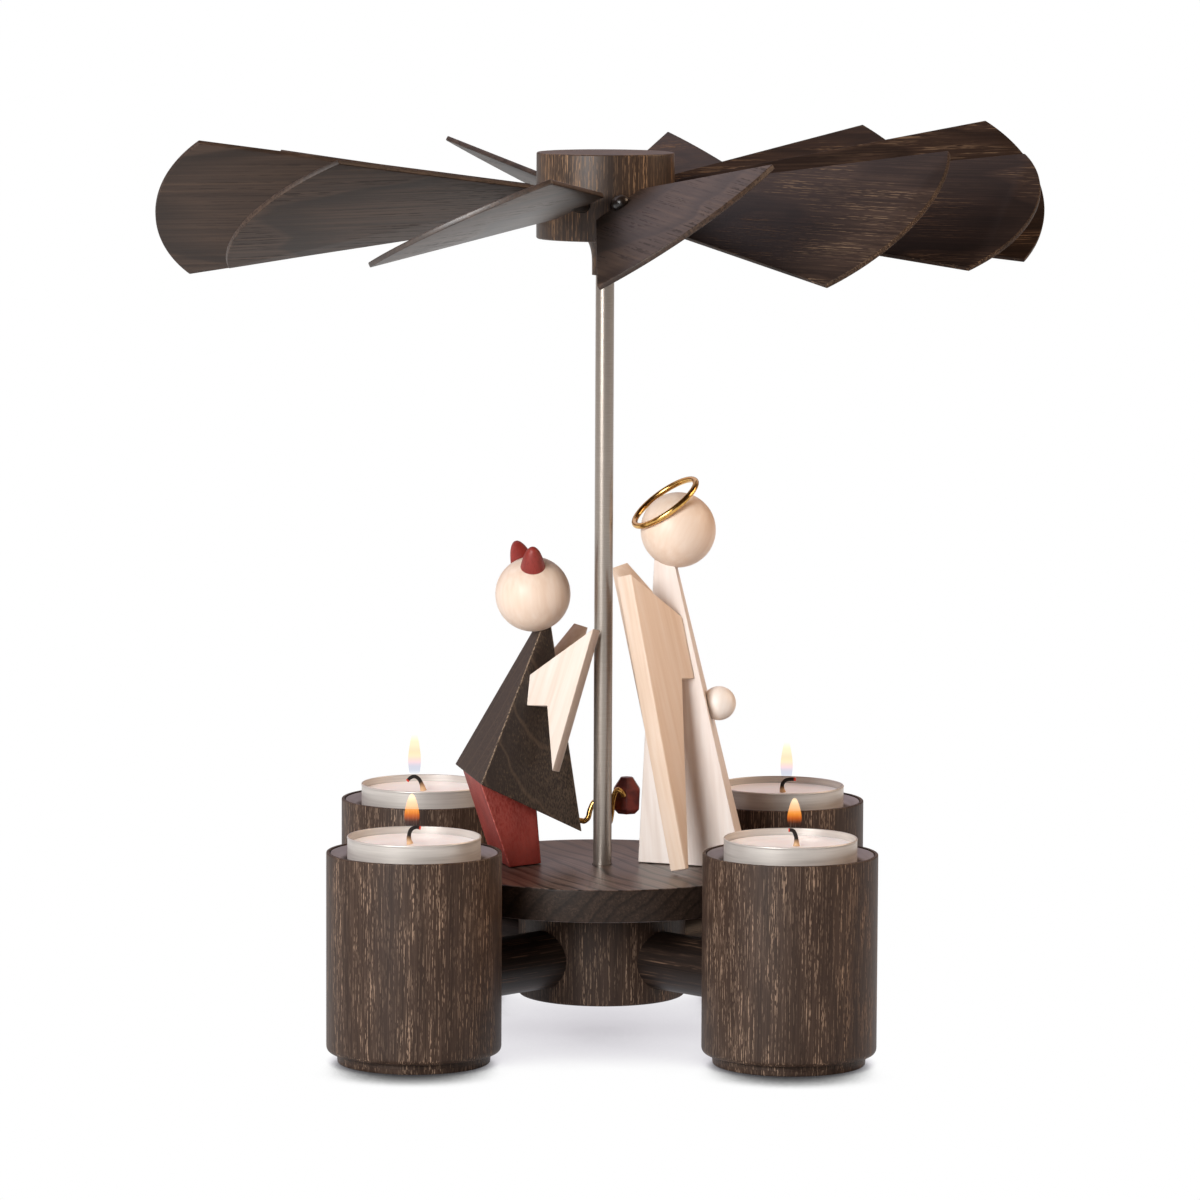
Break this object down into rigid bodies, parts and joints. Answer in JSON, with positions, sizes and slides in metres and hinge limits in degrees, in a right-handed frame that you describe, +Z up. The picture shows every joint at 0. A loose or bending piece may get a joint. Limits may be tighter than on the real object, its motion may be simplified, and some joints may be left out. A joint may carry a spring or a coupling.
{
  "type": "christmas_pyramid",
  "caption": "Table-top candle carousel in dark smoked wood: tealight holders on dowel arms, a turning platform with two carved figures, and a vane wheel on a steel shaft",
  "frame": {"origin": "centre of the shaft axis at the level of the holder feet", "axes": "+Z up along the shaft, -Y towards the front of the picture, +X to its right"},
  "size_m": [0.2576, 0.257, 0.2651],
  "materials": {
    "smoked_ash": "satin smoked wood with fine vertical pores",
    "smoked_ash_vane": "satin smoked wood",
    "maple": "smooth bare wood",
    "white_stained_wood": "white stained wood",
    "red_paint": "matte red stain over wood",
    "dark_red_paint": "dark red paint",
    "brass": "polished wire",
    "steel": "brushed rod",
    "cup_aluminium": "thin pressed cup",
    "liner_aluminium": "matte pressed dish",
    "wax": "candle wax, a little translucent",
    "wick_cotton": "charred cotton",
    "bearing_glass": "polished seat"
  },
  "bodies": {
    "base": {"base_body": "smoked_ash", "arm_1": "smoked_ash", "arm_2": "smoked_ash", "arm_3": "smoked_ash", "arm_4": "smoked_ash", "holder_1": "smoked_ash", "holder_2": "smoked_ash", "holder_3": "smoked_ash", "holder_4": "smoked_ash", "holder_insert_1": "liner_aluminium", "holder_insert_2": "liner_aluminium", "holder_insert_3": "liner_aluminium", "holder_insert_4": "liner_aluminium", "bearing_cup": "bearing_glass", "guide_bush": "brass"},
    "rotor": {"shaft": "steel", "platform": "smoked_ash", "hub": "smoked_ash", "devil_trousers": "red_paint", "devil_coat": "smoked_ash", "devil_head": "maple", "devil_horn_left": "red_paint", "devil_horn_right": "red_paint", "devil_wing_left": "maple", "devil_wing_right": "maple", "devil_tail": "brass", "devil_tail_tip": "dark_red_paint", "angel_gown": "white_stained_wood", "angel_head": "maple", "angel_halo": "brass", "angel_wing_left": "maple", "angel_wing_right": "maple", "angel_ball": "maple"},
    "vane_body_01": {"vane_01": "smoked_ash_vane"},
    "vane_body_02": {"vane_02": "smoked_ash_vane"},
    "vane_body_03": {"vane_03": "smoked_ash_vane"},
    "vane_body_04": {"vane_04": "smoked_ash_vane"},
    "vane_body_05": {"vane_05": "smoked_ash_vane"},
    "vane_body_06": {"vane_06": "smoked_ash_vane"},
    "vane_body_07": {"vane_07": "smoked_ash_vane"},
    "vane_body_08": {"vane_08": "smoked_ash_vane"},
    "vane_body_09": {"vane_09": "smoked_ash_vane"},
    "vane_body_10": {"vane_10": "smoked_ash_vane"},
    "vane_body_11": {"vane_11": "smoked_ash_vane"},
    "vane_body_12": {"vane_12": "smoked_ash_vane"},
    "tealight_1": {"tealight_cup_1": "cup_aluminium", "wax_1": "wax", "wick_1": "wick_cotton"},
    "tealight_2": {"tealight_cup_2": "cup_aluminium", "wax_2": "wax", "wick_2": "wick_cotton"},
    "tealight_3": {"tealight_cup_3": "cup_aluminium", "wax_3": "wax", "wick_3": "wick_cotton"},
    "tealight_4": {"tealight_cup_4": "cup_aluminium", "wax_4": "wax", "wick_4": "wick_cotton"}
  },
  "joints": [
    {"name": "rotor_turn", "type": "hinge", "parent": "base", "child": "rotor", "pos_m": [0, 0, 0.0176], "axis": [0, 0, 1], "continuous": true},
    {"name": "vane_pitch_01", "type": "hinge", "parent": "rotor", "child": "vane_body_01", "pos_m": [0.0155, 0.00304, 0.24296], "axis": [0.981, 0.1925, 0.0227], "range_deg": [-26.2, 18.8]},
    {"name": "vane_pitch_02", "type": "hinge", "parent": "rotor", "child": "vane_body_02", "pos_m": [0.01214, 0.01011, 0.24252], "axis": [0.7683, 0.6401, -0.0052], "range_deg": [-26.4, 18.6]},
    {"name": "vane_pitch_03", "type": "hinge", "parent": "rotor", "child": "vane_body_03", "pos_m": [0.00553, 0.0148, 0.24252], "axis": [0.3502, 0.9367, -0.0052], "range_deg": [-17.6, 27.4]},
    {"name": "vane_pitch_04", "type": "hinge", "parent": "rotor", "child": "vane_body_04", "pos_m": [-0.0031, 0.01549, 0.24266], "axis": [-0.1959, 0.9806, 0.0035], "range_deg": [-12.2, 32.8]},
    {"name": "vane_pitch_05", "type": "hinge", "parent": "rotor", "child": "vane_body_05", "pos_m": [-0.01024, 0.01203, 0.2426], "axis": [-0.6481, 0.7615, 0], "range_deg": [-7, 38]},
    {"name": "vane_pitch_06", "type": "hinge", "parent": "rotor", "child": "vane_body_06", "pos_m": [-0.01489, 0.0053, 0.2426], "axis": [-0.9421, 0.3355, 0], "range_deg": [-11, 34]},
    {"name": "vane_pitch_07", "type": "hinge", "parent": "rotor", "child": "vane_body_07", "pos_m": [-0.01564, -0.00223, 0.24241], "axis": [-0.9899, -0.1409, -0.0122], "range_deg": [-27.8, 17.2]},
    {"name": "vane_pitch_08", "type": "hinge", "parent": "rotor", "child": "vane_body_08", "pos_m": [-0.01185, -0.01045, 0.2426], "axis": [-0.7501, -0.6613, 0], "range_deg": [-17.2, 27.8]},
    {"name": "vane_pitch_09", "type": "hinge", "parent": "rotor", "child": "vane_body_09", "pos_m": [-0.00525, -0.0149, 0.24255], "axis": [-0.3322, -0.9432, -0.0035], "range_deg": [-9.3, 35.7]},
    {"name": "vane_pitch_10", "type": "hinge", "parent": "rotor", "child": "vane_body_10", "pos_m": [0.00291, -0.01553, 0.24249], "axis": [0.1839, -0.9829, -0.007], "range_deg": [-19.2, 25.8]},
    {"name": "vane_pitch_11", "type": "hinge", "parent": "rotor", "child": "vane_body_11", "pos_m": [0.01032, -0.01196, 0.24263], "axis": [0.6534, -0.757, 0.0017], "range_deg": [-22.4, 22.6]},
    {"name": "vane_pitch_12", "type": "hinge", "parent": "rotor", "child": "vane_body_12", "pos_m": [0.01468, -0.00584, 0.2426], "axis": [0.9291, -0.3697, 0], "range_deg": [-15.7, 29.3]},
    {"name": "tealight_lift_1", "type": "slide", "parent": "base", "child": "tealight_1", "axis": [0, 0, 1], "range_m": [0, 0.06]},
    {"name": "tealight_lift_2", "type": "slide", "parent": "base", "child": "tealight_2", "axis": [0, 0, 1], "range_m": [0, 0.06]},
    {"name": "tealight_lift_3", "type": "slide", "parent": "base", "child": "tealight_3", "axis": [0, 0, 1], "range_m": [0, 0.06]},
    {"name": "tealight_lift_4", "type": "slide", "parent": "base", "child": "tealight_4", "axis": [0, 0, 1], "range_m": [0, 0.06]}
  ]
}
